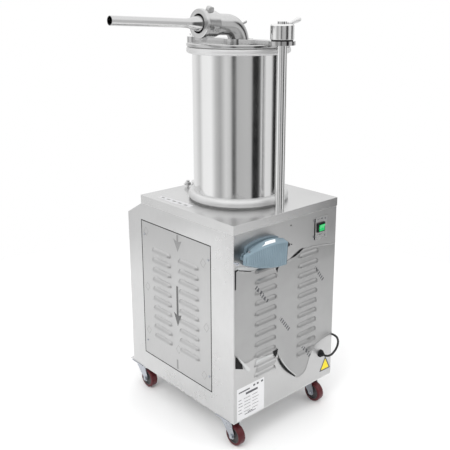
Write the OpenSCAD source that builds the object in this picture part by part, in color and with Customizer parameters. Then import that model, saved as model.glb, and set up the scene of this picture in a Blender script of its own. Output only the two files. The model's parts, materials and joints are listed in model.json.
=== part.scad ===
// Vertical hydraulic sausage stuffer on four casters.
// Working axes: origin on the barrel's axis at the floor, +X to the operator's right, +Y to the rear.
// The operator stands in front, at -Y. place() then moves everything to the part's own origin.

/* [Cabinet] */
// Width of the cabinet and side of its square top plate
cabinet_w = 430; // [420:1:440]
// Depth of the cabinet at its base
cabinet_d = 508; // [500:1:520]
// Height of the cabinet from its base to the top plate
cabinet_h = 604; // [596:1:612]
// Thickness of the cabinet's sheet steel
sheet_t = 1.5; // [1.2:0.1:2]
// Height of the folded edge of the top plate
fold_h = 27; // [20:1:32]
// Height of one pressed louvre above its mouth
louvre_h = 14; // [10:1:15]
// Vertical distance from one louvre to the next
louvre_pitch = 32.5; // [30:0.5:34]

/* [Casters] */
// Height from the floor to the cabinet's base
caster_h = 86; // [84:1:90]
// Diameter of a caster wheel
wheel_d = 63; // [60:1:65]
// Width of a caster wheel
wheel_w = 24; // [20:1:26]
// Horizontal distance from the swivel axis to the wheel axle
trail = 27; // [22:1:30]

/* [Barrel and lid] */
// Outside diameter of the barrel tube
barrel_d = 275; // [270:1:280]
// Height of the barrel above the top plate
barrel_len = 456; // [440:1:470]
// Outside diameter of the barrel's rings and of the lid
ring_d = 308; // [304:1:314]
// Thickness of the lid disc
lid_t = 10; // [8:1:12]
// Diameter of the two posts beside the barrel
post_d = 29; // [26:0.5:30]

/* [Outlet] */
// Outside diameter of the outlet elbow
elbow_d = 60; // [54:1:62]
// Outside diameter of the stuffing tube
tube_d = 25; // [20:1:28]
// Distance from the barrel's axis to the tip of the stuffing tube
tube_reach = 440; // [400:5:460]
// Upward slope of the outlet, in degrees
outlet_slope = 2.4; // [0:0.1:4]

/* [Drive] */
// Diameter of the hydraulic piston rod
rod_d = 44; // [36:1:50]
// Inside diameter of the hydraulic cylinder
ram_d = 80; // [76:1:84]
// Travel of the food piston
stroke = 385; // [300:5:386]

/* [Hidden] */
$fn = 64;

// Colours
steel = "gainsboro";
dull_steel = "silver";
black = "#202224";
casting = "#7d929d";
maroon = "#5a1f24";

// Small gaps
free_gap = 0.3;
fit_gap = 0.05;
through = 1;

// Cabinet faces and levels
side_x = cabinet_w / 2;
front_y = -side_x;
back_y = front_y + cabinet_d;
base_z = caster_h;
base_t = 4;
wall_z = base_z + base_t;
plate_z = base_z + cabinet_h;
plate_t = 3;
fold_t = 1.5;
boss_t = 12;
chamfer_z = plate_z - 72;
tab_reach = 18;
tab_w = 90;

// Service door in the left side
door_y = [-116, 218];
door_z = [base_z + 65, base_z + 520];
door_gap = 2;
ledge_w = 12;
door_rows = 10;
door_columns = [118, -15];
door_louvre_w = 95;
door_mouth_z = base_z + 432;

// Front panel
panel_rows = 11;
panel_columns = [-90, 90];
panel_louvre_w = 90;
panel_mouth_z = base_z + 445;
panel_holes = [[10, base_z + 557], [14, base_z + 498]];
knee_hole = [-1, base_z + 504];
gland_at = [162, base_z + 91];
louvre_out = 7.5;
louvre_wall = 1;

// Posts
front_post_xy = [-12, -188];
rear_post_xy = [0, 195];
ear_r = 37;
collar_r = 24;
post_foot_r = 23.5;
hinge_r = 30;
bar_w = 44;
bar_disc_r = 43;
elbow_gap = 1.5;
slot_gap = 0.5;
post_reach = sqrt(pow(front_post_xy[0] - rear_post_xy[0], 2) + pow(front_post_xy[1] - rear_post_xy[1], 2));

// Barrel levels
bottom_ring_h = 27;
top_ring_h = 19;
barrel_top = plate_z + barrel_len;
ring_top = barrel_top + 1;
lid_z = ring_top + 1;
lid_top = lid_z + lid_t;
bar_t = 11;
bar_top = lid_top + bar_t;
barrel_wall = 2;
barrel_r = barrel_d / 2;
bore_r = barrel_r - barrel_wall;
ring_r = ring_d / 2;
gasket_r = [141, 146];
gasket_depth = 4;

// Outlet elbow
elbow_r = elbow_d / 2;
elbow_wall = 2;
bend_r = 50;
weld_gap = 0.02;
outlet_z = lid_top + 2 + bend_r;
ferrule_x = -89;
seat_x = -118;
nut_x = [-155, -100];
nut_r = 38;
nut_front_r = 41;
cone_r = 25;
flange_r = 34;
tube_wall = 1.2;
cone_tip_x = -186;
cone_wall = 1.5;
nut_bore_r = 27;
lug_angles = [18, 108, 198, 288];
bleed_lean = 20;

// Hand nut
nut_gap = free_gap;
washer_t = 3;
hand_nut_z = bar_top + nut_gap + washer_t;
hand_nut_h = 42;
hand_nut_r = 33;
thread_r = 13.5;
lever_r = 5;
lever_lean = 68;
lever_turn = -20;
post_top = hand_nut_z + hand_nut_h + 7;

// Hydraulic cylinder and food piston
gland_flange = [54, 10];
port_end_x = -62;
port_r = [11, 5];
spigot_r = 12;
cylinder_r = ram_d / 2 + 8;
ram_r = ram_d / 2;
rod_r = rod_d / 2;
cylinder_top = plate_z - plate_t - boss_t;
ram_head_h = 30;
gland_bottom = plate_z - 32;
ram_bottom = gland_bottom - ram_head_h - stroke - 2;
piston_z = plate_z + 32;
piston_h = 35;
seal_levels = [8, 24];
seal_h = 5;
seal_depth = 5;

// Power pack behind the cylinder
tank_box = [[-195, 72, base_z + 9], [195, 280, base_z + 204]];
pack_y = 176;
pack_z = base_z + 292;
motor_x = [-10, 190];
motor_r = 68;
coupling_x = [-58, -28];
pump_x = [-136, -78];
pump_r = 40;
bell_r = 46;
shaft_r = [10, 8];
coupling_r = 24;

// Knee switch, its length rolled slightly down to the right
knee_z = base_z + 507;
knee_x = -120;
knee_roll = 4;
boat_x = -98;
ogive_r = 208;
ogive_c = 165;
pad_x = [-204, -57];
pad_front = -254;
pad_rim = -228;
pedal_tilt = 6;
pedal_pivot = [-188, -245.5];
pin_r = 3;
pedal_wall = 3.5;
face_half = 33;
facet_lean = 1.3;
facet_slope = 0.75;
function facet_z(y, inset) = face_half + (y - pad_front) * facet_slope - facet_lean * inset;

// Mains switch
switch_at = [141.5, base_z + 524];
switch_flange = [16.5, 14.5];
switch_body = [15, 13];
switch_t = 5;
rocker_at = [143, base_z + 523];
rocker_w = 24;
rocker_half = 10.5;
rocker_room = 11.5;
rocker_pin_r = 1.5;
rocker_rest = 7;

// Casters: swivel axes
caster_xy = [[-187, -165], [163, -165], [-187, 272], [163, 272]];
pivot_r = 5;
mount_t = 2.6;
hub_r = 9;
axle_z = wheel_d / 2;
axle_r = 4;
fork_top = 74;

// Mains cord: seven millimetre lead, route chosen by hand
cord_d = 7;
cord_route = [
    [162, -228, 177], [162, -236, 177], [165, -245, 179], [172, -252, 184], [182, -255, 192],
    [192, -255, 200], [202, -252, 208], [212, -245, 215], [219, -235, 220], [222, -224, 222],
    [223, -210, 222], [224, -196, 218], [225, -183, 209], [226, -172, 196], [227, -162, 180],
    [228, -153, 160], [229, -145, 138], [230, -137, 114], [232, -128, 88], [235, -118, 62],
    [241, -106, 38], [250, -91, 20], [262, -73, 9], [272, -53, 4.6], [278, -30, 3.6], [280, -4, 3.6]
];
coil_at = [323.5, -4];
coil_r = 40;
coil_h = 21.5;
plug_at = [280, 58, 19];
relief_l = 37;

// Short cable from the knee switch into the cabinet
knee_route = [
    [-66, -223.5, 589], [-56, -223.5, 589], [-44, -223.5, 588], [-32, -225, 588], [-20, -226, 589],
    [-10, -225, 590], [-3, -221, 590], [-1, -214, 590], [-1, -204, 590], [-1, -194, 588]
];

// Hoses from the valve block to the two ends of the cylinder
lift_route = [
    [-150, 130, base_z + 262], [-150, 108, base_z + 262], [-140, 84, base_z + 240],
    [-118, 58, base_z + 204], [-94, 28, base_z + 176], [-78, 8, base_z + 167], [-62, 0, base_z + 167]
];
return_route = [
    [-176, 130, base_z + 262], [-178, 108, base_z + 266], [-180, 84, base_z + 300],
    [-178, 62, base_z + 370], [-168, 44, base_z + 450], [-142, 26, base_z + 518],
    [-104, 8, base_z + 554], [-80, 0, base_z + 560], [-62, 0, base_z + 560]
];
hose_d = 16;

// The part's origin: centre of its box without the cord, on the floor
x_low = -bend_r - (tube_reach - bend_r) * cos(outlet_slope) + (bend_r - tube_d / 2) * sin(outlet_slope);
x_high = side_x + fold_t;
y_low = pedal_pivot[1] - (pad_x[1] - pedal_pivot[0]) * sin(pedal_tilt)
    + (pad_front - pedal_pivot[1]) * cos(pedal_tilt);
y_high = back_y + tab_reach;
origin_x = (x_low + x_high) / 2;
origin_y = (y_low + y_high) / 2;

// ---------------------------------------------------------------- helpers

module place() translate([-origin_x, -origin_y, 0]) children();

// A round bar along X, from x0 to x1
module along_x(x0, x1, r) translate([x0, 0, 0]) rotate([0, 90, 0]) cylinder(r = r, h = x1 - x0);

// A round bar along Y at [x, z], with radius r0 at y0 and r1 at y1
module along_y(at, y0, y1, r0, r1 = undef)
    translate([at[0], y1, at[1]]) rotate([90, 0, 0])
        cylinder(r1 = is_undef(r1) ? r0 : r1, r2 = r0, h = y1 - y0);

// A box between two corners
module box(low, high) translate(low) cube(high - low);

// A tube with a floor-to-top bore
module pipe(z0, z1, r_out, r_in) translate([0, 0, z0]) difference() {
    cylinder(r = r_out, h = z1 - z0, $fn = 96);
    translate([0, 0, -through]) cylinder(r = r_in, h = z1 - z0 + 2 * through, $fn = 96);
}

// A half-round bead, used on the barrel's rings
module bead(z0, h, r_in, r_out, round) translate([0, 0, z0]) rotate_extrude($fn = 96) {
    translate([r_in, 0]) square([r_out - r_in - round, h]);
    translate([r_in, round]) square([r_out - r_in, h - 2 * round]);
    translate([r_out - round, round]) circle(r = round, $fn = 32);
    translate([r_out - round, h - round]) circle(r = round, $fn = 32);
}

// Outer skin of one louvre: a sunken capsule, open below; the wall it stands on faces -Y
module louvre_skin(w, shrink) {
    rise = louvre_h;
    r = (rise * rise + louvre_out * louvre_out) / (2 * louvre_out);
    body = r - shrink;
    end = w / 2 - rise;
    intersection() {
        translate([-w, -louvre_out, 0]) cube([2 * w, louvre_out, rise]);
        translate([0, r - louvre_out, 0]) union() {
            translate([-end, 0, 0]) rotate([0, 90, 0]) cylinder(r = body, h = 2 * end);
            for (side = [-1, 1]) translate([side * end, 0, 0]) sphere(r = body);
        }
    }
}

// The slot behind one louvre
module louvre_slot(w) translate([-w / 2 + louvre_h, -through, 0])
    cube([w - 2 * louvre_h, sheet_t + 2 * through, louvre_h - 4]);

module louvre(w) difference() {
    louvre_skin(w, 0);
    translate([0, 0, -louvre_wall]) louvre_skin(w, louvre_wall);
}

// Louvre places on a wall that faces -Y: columns of equal rows
module at_louvres(columns, mouth_z, rows)
    for (x = columns)
        for (row = [0 : rows - 1]) translate([x, 0, mouth_z - row * louvre_pitch]) children();

// Pan-head screw whose head stands on a wall facing -Y
module pan_screw(head_r, length) {
    rotate([90, 0, 0]) cylinder(r1 = head_r, r2 = head_r * 0.75, h = head_r * 0.6, $fn = 24);
    rotate([-90, 0, 0]) cylinder(r = head_r * 0.5, h = length, $fn = 24);
}

// Turns a wall that faces -Y into the left wall, which faces -X
module on_left() translate([-side_x, 0, 0]) rotate([0, 0, -90]) children();

// ------------------------------------------------- swept tubes, by parallel transport

function unit(v) = v / norm(v);
function spline(a, b, c, d, t) = 0.5 * ((2 * b) + (c - a) * t + (2 * a - 5 * b + 4 * c - d) * t * t
    + (3 * b - a - 3 * c + d) * t * t * t);
function pick(p, i) = i < 0 ? 2 * p[0] - p[1] : i >= len(p) ? 2 * p[len(p) - 1] - p[len(p) - 2] : p[i];
function smooth(p, steps) = concat(
    [for (i = [0 : len(p) - 2]) for (s = [0 : steps - 1])
        spline(pick(p, i - 1), p[i], p[i + 1], pick(p, i + 2), s / steps)],
    [p[len(p) - 1]]);
function heading(c, i) = unit(c[min(i + 1, len(c) - 1)] - c[max(i - 1, 0)]);
function square_to(n, t) = unit(n - (n * t) * t);
function normals(c, i, n) = i >= len(c) ? [] :
    let (m = square_to(n, heading(c, i))) concat([m], normals(c, i + 1, m));

module sweep(route, d, steps, sides, first) {
    centre = smooth(route, steps);
    normal = normals(centre, 0, first);
    rings = len(centre);
    points = [for (i = [0 : rings - 1]) let (t = heading(centre, i), n = normal[i], b = cross(t, n))
        for (k = [0 : sides - 1]) let (a = 360 * k / sides) centre[i] + d / 2 * (cos(a) * n + sin(a) * b)];
    walls = [for (i = [0 : rings - 2]) for (k = [0 : sides - 1]) let (next = (k + 1) % sides)
        [i * sides + k, (i + 1) * sides + k, (i + 1) * sides + next, i * sides + next]];
    start = [[for (k = [0 : sides - 1]) k]];
    finish = [[for (k = [sides - 1 : -1 : 0]) (rings - 1) * sides + k]];
    polyhedron(points, concat(walls, start, finish), convexity = 6);
}

// ---------------------------------------------------------------- cabinet

module base_plate() color(dull_steel) place() {
    difference() {
        union() {
            box([-side_x, front_y, base_z], [side_x, back_y, wall_z]);
            // Tabs that carry the rear casters
            for (xy = caster_xy)
                if (xy[1] > 0) box([max(xy[0] - tab_w / 2, -side_x), back_y - 60, base_z],
                    [min(xy[0] + tab_w / 2, side_x), y_high, wall_z]);
        }
        translate([0, 0, base_z - through]) cylinder(r = 60, h = base_t + 2 * through);
    }
}

module cabinet_shell() color(steel) place() difference() {
    t = sheet_t;
    top = plate_z - plate_t;
    slope_z = plate_z - fold_h;
    // Folded sheet: left, rear and right walls with the sloping rear top edge
    union() {
        difference() {
            translate([-side_x, 0, 0]) rotate([90, 0, 90]) linear_extrude(cabinet_w)
                polygon([[front_y + t, wall_z], [back_y, wall_z], [back_y, chamfer_z], [side_x, slope_z],
                    [side_x, top], [front_y + t, top]]);
            translate([t - side_x, 0, 0]) rotate([90, 0, 90]) linear_extrude(cabinet_w - 2 * t)
                polygon([[front_y - t, base_z], [back_y - t, base_z], [back_y - t, chamfer_z - t],
                    [side_x - t, slope_z - t], [side_x - t, top + t], [front_y - t, top + t]]);
        }
        // Ledge that the service door rests on
        box([t - side_x, door_y[0] - ledge_w, door_z[0] - ledge_w],
            [2 * t - side_x, door_y[1] + ledge_w, door_z[1] + ledge_w]);
    }
    box([-side_x - through, door_y[0] - door_gap, door_z[0] - door_gap],
        [t - side_x, door_y[1] + door_gap, door_z[1] + door_gap]);
    box([-side_x - through, door_y[0] + ledge_w, door_z[0] + ledge_w],
        [3 * t - side_x, door_y[1] - ledge_w, door_z[1] - ledge_w]);
}

module front_panel() color(steel) place() translate([0, front_y, 0]) {
    difference() {
        box([-side_x, 0, wall_z], [side_x, sheet_t, plate_z - plate_t]);
        at_louvres(panel_columns, panel_mouth_z, panel_rows) louvre_slot(panel_louvre_w);
        for (hole = panel_holes) along_y(hole, -through, sheet_t + through, 2.2);
        along_y(knee_hole, -through, sheet_t + through, 5);
        along_y(gland_at, -through, sheet_t + through, 8);
        box([switch_at[0] - switch_body[0], -through, switch_at[1] - switch_body[1]],
            [switch_at[0] + switch_body[0], sheet_t + through, switch_at[1] + switch_body[1]]);
    }
    at_louvres(panel_columns, panel_mouth_z, panel_rows) louvre(panel_louvre_w);
}

// Columns are mirrored because the left wall runs from front to rear
module service_door() color(steel) place() on_left() {
    columns = [for (y = door_columns) -y];
    difference() {
        box([-door_y[1], 0, door_z[0]], [-door_y[0], sheet_t, door_z[1]]);
        at_louvres(columns, door_mouth_z, door_rows) louvre_slot(door_louvre_w);
    }
    at_louvres(columns, door_mouth_z, door_rows) louvre(door_louvre_w);
}

door_screw_yz = [for (y = [door_y[0] + 9, door_y[1] - 13]) for (z = [door_z[0] + 45, door_z[1] - 43]) [y, z]];
panel_screw_xz = [[112, 636], [112, 584], [162, 635], [162, 581], [-208, 656], [208, 656]];

module cover_screws() color(dull_steel) place() {
    on_left() for (p = door_screw_yz) translate([-p[0], 0, p[1]]) pan_screw(3.6, sheet_t);
    for (p = panel_screw_xz) translate([p[0], front_y, p[1]]) pan_screw(2, sheet_t);
    for (xy = caster_xy)
        for (side = [-1, 1])
            for (end = [-1, 1])
                translate([xy[0] + side * 20, xy[1] + end * 20, base_z - mount_t]) rotate([180, 0, 0])
                    cylinder(r = 5, h = 4, $fn = 6);
}

module top_plate() color(steel) place() difference() {
    out = side_x + fold_t;
    union() {
        difference() {
            box([-out, -out, plate_z - fold_h], [out, out, plate_z]);
            box([-side_x, -side_x, plate_z - fold_h - through], [side_x, side_x, plate_z - plate_t]);
        }
        translate([0, 0, plate_z - plate_t - boss_t]) cylinder(r = 120, h = boss_t, $fn = 96);
    }
    translate([0, 0, plate_z - 40]) cylinder(r = ram_r, h = 60);
    translate([rear_post_xy[0] - 45, rear_post_xy[1], plate_z - 10]) cylinder(r = 4, h = 20);
}

// ---------------------------------------------------------------- barrel and posts

module barrel_shell() color(steel) place() pipe(plate_z, barrel_top, barrel_r, bore_r);

module barrel_rings() color(steel) place() {
    bead(plate_z, bottom_ring_h, barrel_r, ring_r, 6);
    difference() {
        bead(ring_top - top_ring_h, top_ring_h, barrel_r, ring_r, 6);
        pipe(ring_top - gasket_depth, ring_top + through, gasket_r[1], gasket_r[0]);
    }
}

module lid_gasket() color("white") place()
    pipe(ring_top - gasket_depth, lid_z - free_gap, gasket_r[1], gasket_r[0]);

module post(xy, top) translate([xy[0], xy[1], plate_z]) cylinder(r = post_d / 2, h = top - plate_z);

module front_post() color(steel) place() {
    post(front_post_xy, bar_top);
    translate([front_post_xy[0], front_post_xy[1], bar_top]) cylinder(r = thread_r, h = post_top - bar_top);
}

module rear_post() color(steel) place() {
    post(rear_post_xy, bar_top + 4);
    translate([rear_post_xy[0], rear_post_xy[1], bar_top + 4]) cylinder(r = 22, h = 6);
    // Collar that carries the lid's hinge sleeve
    translate([rear_post_xy[0], rear_post_xy[1], lid_z - 26]) cylinder(r = collar_r, h = 14);
    translate([rear_post_xy[0], rear_post_xy[1], plate_z]) cylinder(r = post_foot_r, h = 12);
}

// ---------------------------------------------------------------- hydraulic drive

module cylinder_tube() color(dull_steel) place() difference() {
    union() {
        pipe(ram_bottom - 4, cylinder_top, cylinder_r, ram_r);
        for (z = [ram_bottom + 12, gland_bottom - 12])
            translate([0, 0, z]) along_x(port_end_x, -ram_r - 2, port_r[0]);
    }
    for (z = [ram_bottom + 12, gland_bottom - 12])
        translate([0, 0, z]) along_x(port_end_x - through, -ram_r + 4, port_r[1]);
}

module cylinder_gland() color(dull_steel) place() difference() {
    union() {
        translate([0, 0, plate_z]) cylinder(r = gland_flange[0], h = gland_flange[1]);
        translate([0, 0, gland_bottom]) cylinder(r = ram_r, h = plate_z - gland_bottom);
    }
    translate([0, 0, gland_bottom - through]) cylinder(r = rod_r + fit_gap, h = 100, $fn = 96);
}

module cylinder_end_cap() color(dull_steel) place()
    translate([0, 0, ram_bottom - 22]) cylinder(r = cylinder_r + 3, h = 18);

module ram_head() color(dull_steel) place() difference() {
    translate([0, 0, ram_bottom]) cylinder(r = ram_r - fit_gap, h = ram_head_h, $fn = 96);
    translate([0, 0, ram_bottom - through]) cylinder(r = spigot_r, h = ram_head_h + 2 * through);
}

module piston_rod() color(steel) place() {
    translate([0, 0, ram_bottom + ram_head_h]) cylinder(r = rod_r, h = piston_z - ram_bottom - ram_head_h, $fn = 96);
    translate([0, 0, ram_bottom]) cylinder(r = spigot_r, h = ram_head_h);
    translate([0, 0, piston_z]) cylinder(r = spigot_r, h = piston_h - 8);
}

module piston_plate() color(steel) place() difference() {
    translate([0, 0, piston_z]) cylinder(r = bore_r - 0.6, h = piston_h, $fn = 96);
    for (level = seal_levels)
        pipe(piston_z + level, piston_z + level + seal_h, bore_r + through, bore_r - seal_depth);
    translate([0, 0, piston_z - through]) cylinder(r = spigot_r, h = piston_h - 8 + through);
}

module piston_seals() color("white") place()
    for (level = seal_levels)
        pipe(piston_z + level, piston_z + level + seal_h, bore_r - fit_gap, bore_r - seal_depth);

module oil_tank() color("steelblue") place() difference() {
    low = tank_box[0];
    high = tank_box[1];
    wall = 2;
    box(low, high);
    box(low + [wall, wall, wall], high - [wall, wall, wall]);
}

module motor() color("dimgray") place() translate([0, pack_y, pack_z]) difference() {
    union() {
        along_x(motor_x[0], motor_x[1] - 40, motor_r);
        along_x(motor_x[1] - 40, motor_x[1], motor_r + 4);
        // Feet on the tank's lid
        for (x = [motor_x[0] + 20, motor_x[1] - 80])
            box([x, -50, tank_box[1][2] - pack_z], [x + 30, 50, -motor_r * 0.6]);
        box([motor_x[0] + 50, -35, motor_r * 0.8], [motor_x[0] + 130, 35, motor_r + 26]);
    }
    along_x(motor_x[0] - through, motor_x[0] + 30, shaft_r[0] + fit_gap);
}

module motor_shaft() color(dull_steel) place() translate([0, pack_y, pack_z]) {
    along_x(coupling_x[1], motor_x[0] + 28, shaft_r[0]);
    along_x(coupling_x[0], coupling_x[1], coupling_r);
    along_x(pump_x[1] - 12, coupling_x[0], shaft_r[1]);
}

module pump() color("slategray") place() translate([0, pack_y, pack_z]) difference() {
    union() {
        along_x(pump_x[0], pump_x[1], pump_r);
        // Bell housing around the coupling
        along_x(pump_x[1], motor_x[0], bell_r);
        box([pump_x[0] + 10, -18, tank_box[1][2] - pack_z], [pump_x[1] - 10, 18, -20]);
    }
    along_x(coupling_x[0] - 6, motor_x[0] + through, 30);
    along_x(pump_x[1] - 16, coupling_x[0], shaft_r[1] + fit_gap);
}

module valve_block() color("slategray") place() {
    z = tank_box[1][2];
    box([-194, 130, z], [-144, 222, z + 70]);
    for (y = [150, 200]) translate([-169, y, z + 70]) cylinder(r = 17, h = 46, $fn = 32);
}

module hydraulic_hoses() color(black) place() {
    sweep(lift_route, hose_d, 4, 10, [0, 0, 1]);
    sweep(return_route, hose_d, 4, 10, [0, 0, 1]);
}

module regulator_knob() color(steel) place() translate([rear_post_xy[0] - 45, rear_post_xy[1], plate_z]) {
    translate([0, 0, -8]) cylinder(r = 4 - fit_gap, h = 14);
    translate([0, 0, 6]) cylinder(r = 10, h = 9, $fn = 48);
    translate([0, 0, 15]) cylinder(r = 6, h = 6, $fn = 48);
    translate([-16, 0, 11]) rotate([0, 90, 0]) cylinder(r = 2.2, h = 12, $fn = 24);
}

// ---------------------------------------------------------------- electrics

module control_box() color("lightgray") place() {
    x = [62, 200];
    y = [front_y + sheet_t + 6, front_y + 100];
    z = [base_z + 330, base_z + 486];
    difference() {
        box([x[0], y[0], z[0]], [x[1], y[1], z[1]]);
        box([x[0] + 2, y[0] + 2, z[0] + 2], [x[1] - 2, y[1] - 2, z[1] - 2]);
    }
}

module switch_plate() color(steel) place() difference() {
    box([118, front_y - 1, base_z + 485], [172, front_y, base_z + 557]);
    box([switch_at[0] - switch_body[0], front_y - 2, switch_at[1] - switch_body[1]],
        [switch_at[0] + switch_body[0], front_y + 1, switch_at[1] + switch_body[1]]);
    for (p = panel_screw_xz) along_y(p, front_y - 2, front_y + 1, 2.3);
}

// The rocker's axis, along X
module at_rocker() translate([rocker_at[0], front_y - 2, rocker_at[1]]) children();

module switch_housing() color(black) place() difference() {
    union() {
        box([switch_at[0] - switch_flange[0], front_y - switch_t, switch_at[1] - switch_flange[1]],
            [switch_at[0] + switch_flange[0], front_y - 1, switch_at[1] + switch_flange[1]]);
        box([switch_at[0] - switch_body[0], front_y - 1, switch_at[1] - switch_body[1]],
            [switch_at[0] + switch_body[0], front_y + 34, switch_at[1] + switch_body[1]]);
    }
    box([rocker_at[0] - rocker_w / 2 - 0.5, front_y - switch_t - through, rocker_at[1] - rocker_room],
        [rocker_at[0] + rocker_w / 2 - 0.5, front_y + 12, rocker_at[1] + rocker_room]);
    at_rocker() along_x(-rocker_w / 2 - 2, rocker_w / 2 + 1, rocker_pin_r + fit_gap);
}

// Rocker with two sloping halves on a pin along X, its lower half pressed in at rest
module rocker() color("limegreen") place() at_rocker() {
    translate([-rocker_w / 2, 0, 0]) rotate([rocker_rest, 0, 0])
        rotate([90, 0, 90]) linear_extrude(rocker_w - 1)
            polygon([[6, -5], [-4, -rocker_half], [-6, 1 - rocker_half], [-4, 0], [-6, rocker_half - 1],
                [-4, rocker_half], [6, 5]]);
    along_x(-rocker_w / 2 - 1.5, rocker_w / 2 + 0.5, rocker_pin_r);
}

// Boat outline of the knee switch in the X-Z plane, from x0 to x1, shrunk by inset
module boat(x0, x1, inset) intersection() {
    translate([boat_x, -ogive_c]) circle(r = ogive_r - inset, $fn = 128);
    translate([boat_x, ogive_c]) circle(r = ogive_r - inset, $fn = 128);
    translate([x0 + inset, -60]) square([x1 - x0 - 2 * inset, 120]);
}

// A boat block from y0 (outer) to y1 (towards the panel)
module boat_block(x0, x1, inset, y0, y1)
    translate([0, y1, knee_z]) rotate([90, 0, 0]) linear_extrude(y1 - y0) boat(x0, x1, inset);

module knee_rolled() translate([knee_x, 0, knee_z]) rotate([0, knee_roll, 0])
    translate([-knee_x, 0, -knee_z]) children();

module at_pedal_pivot() translate([pedal_pivot[0], pedal_pivot[1], knee_z]) children();

module knee_switch_base() color(casting) place() knee_rolled() difference() {
    union() {
        boat_block(-180, -56, 0, front_y - 11, front_y);
        boat_block(-180, -56, 7, -238, front_y - 11);
        // Lug that holds the pivot pin
        box([-192, -249, knee_z - 7.5], [-168, front_y, knee_z]);
        // Ears for the two mounting screws
        for (x = [-180, -54]) along_y([x, knee_z], front_y - 5, front_y, 9);
    }
    at_pedal_pivot() cylinder(r = pin_r, h = 60, center = true, $fn = 32);
    translate([-72, -223.5, knee_z]) along_x(0, 30, 3.5);
}

module knee_pivot_pin() color(dull_steel) place() knee_rolled()
    at_pedal_pivot() cylinder(r = pin_r, h = 46, center = true, $fn = 32);

// Torsion spring wound on the pivot pin
module knee_spring() color(dull_steel) place() knee_rolled() translate([pedal_pivot[0], pedal_pivot[1], 0])
    pipe(knee_z + 0.5, knee_z + 7, 4.6, pin_r + 0.3);

module about_pedal_pivot(angle) translate([pedal_pivot[0], pedal_pivot[1], 0]) rotate([0, 0, angle])
    translate([-pedal_pivot[0], -pedal_pivot[1], 0]) children();

// The pedal's outer shape, or its hollow when inset; flat facets run from its face to its rim
module pedal_shape(inset, back) intersection() {
    boat_block(pad_x[0], pad_x[1], inset, pad_front + inset, back);
    translate([-300, 0, knee_z]) rotate([90, 0, 90]) linear_extrude(400)
        polygon([[pad_front, facet_z(pad_front, inset)], [back, facet_z(back, inset)],
            [back, -facet_z(back, inset)], [pad_front, -facet_z(pad_front, inset)]]);
}

// Hollow pedal, tilted out at its wide end when it is released
module knee_pedal() color(casting) place() knee_rolled() about_pedal_pivot(-pedal_tilt) difference() {
    pedal_shape(0, pad_rim);
    difference() {
        pedal_shape(pedal_wall, pad_rim + through);
        // Bosses on both sides of the spring
        for (side = [-1, 1]) at_pedal_pivot() translate([0, 0, side * 17]) cube([12, 40, 18], center = true);
    }
    // The rim rises towards the narrow end
    translate([0, 0, knee_z - 60]) linear_extrude(120)
        polygon([[-210, -242], [-194, -242], [-120, pad_rim + through], [-210, pad_rim + through]]);
    at_pedal_pivot() cylinder(r = pin_r + fit_gap, h = 80, center = true, $fn = 32);
}

module knee_cable() color(black) place() sweep(knee_route, 7, 3, 8, [0, 0, 1]);

module cable_gland() color(black) place() translate([0, front_y, 0]) difference() {
    union() {
        along_y(gland_at, -4, 0, 12);
        along_y(gland_at, -13, -4, 5, 9);
        along_y(gland_at, 0, 8, 7.9);
    }
    along_y(gland_at, -13 + through, 9, cord_d / 2);
}

module mains_cord() color(black) place() sweep(cord_route, cord_d, 3, 10, [0, 0, 1]);

// Closed solid of the coil: a ring two turns wide, lying on the floor
module cord_coil() color(black) place() translate([coil_at[0], coil_at[1], 0]) rotate_extrude()
    translate([coil_r - cord_d, 0]) square([2 * cord_d, coil_h]);

module mains_plug() color(black) place() translate(plug_at) {
    rotate([-90, 0, 0]) cylinder(r = 19, h = 26);
    translate([0, -relief_l, 0]) rotate([-90, 0, 0]) cylinder(r1 = 4.2, r2 = 13, h = relief_l);
    for (x = [-9.5, 9.5]) translate([x, 26, 0]) rotate([-90, 0, 0]) cylinder(r = 2.4, h = 19, $fn = 24);
}

// ---------------------------------------------------------------- casters

module caster_plates() color(dull_steel) place() for (xy = caster_xy) translate([xy[0], xy[1], 0]) {
    translate([-30, -30, base_z - mount_t]) cube([60, 60, mount_t]);
    translate([0, 0, fork_top + free_gap]) cylinder(r = 22, h = base_z - mount_t - fork_top - free_gap);
    translate([0, 0, fork_top - 6]) cylinder(r = pivot_r, h = 8);
}

module fork(xy) color(dull_steel) place() translate([xy[0], xy[1], 0]) difference() {
    inner = wheel_w / 2 + 1.5;
    outer = inner + 2.5;
    union() {
        // Crown
        intersection() {
            translate([0, 0, fork_top - 3]) cylinder(r = 24, h = 3);
            translate([-outer, -40, 0]) cube([2 * outer, 80, fork_top]);
        }
        for (side = [-1, 1]) translate([side * (inner + outer) / 2, 0, 0]) rotate([90, 0, 90])
            linear_extrude(outer - inner, center = true) {
                polygon([[-22, fork_top], [20, fork_top], [20, fork_top - 8], [-trail + 9, axle_z - 4],
                    [-trail - 9, axle_z - 4], [-trail - 9, axle_z + 12]]);
                translate([-trail, axle_z]) circle(r = 9.5, $fn = 32);
            }
    }
    translate([-40, -trail, axle_z]) along_x(0, 80, axle_r);
    translate([0, 0, fork_top - 8]) cylinder(r = pivot_r + fit_gap, h = 12);
}

module wheel(xy) color(maroon) place() translate([xy[0], xy[1] - trail, axle_z]) difference() {
    along_x(-wheel_w / 2, wheel_w / 2, wheel_d / 2);
    for (side = [-1, 1]) translate([side * wheel_w / 2, 0, 0]) difference() {
        along_x(-4, 4, wheel_d / 2 - 7);
        along_x(-5, 5, hub_r);
    }
    along_x(-wheel_w, wheel_w, axle_r + fit_gap);
}

module axle(xy) color(dull_steel) place() translate([xy[0], xy[1] - trail, axle_z]) {
    reach = wheel_w / 2 + 4;
    along_x(-reach, reach, axle_r);
    along_x(-reach - 5, -reach, 6.5);
    along_x(reach, reach + 5, 6.5);
}

// ---------------------------------------------------------------- lid and outlet

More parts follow.
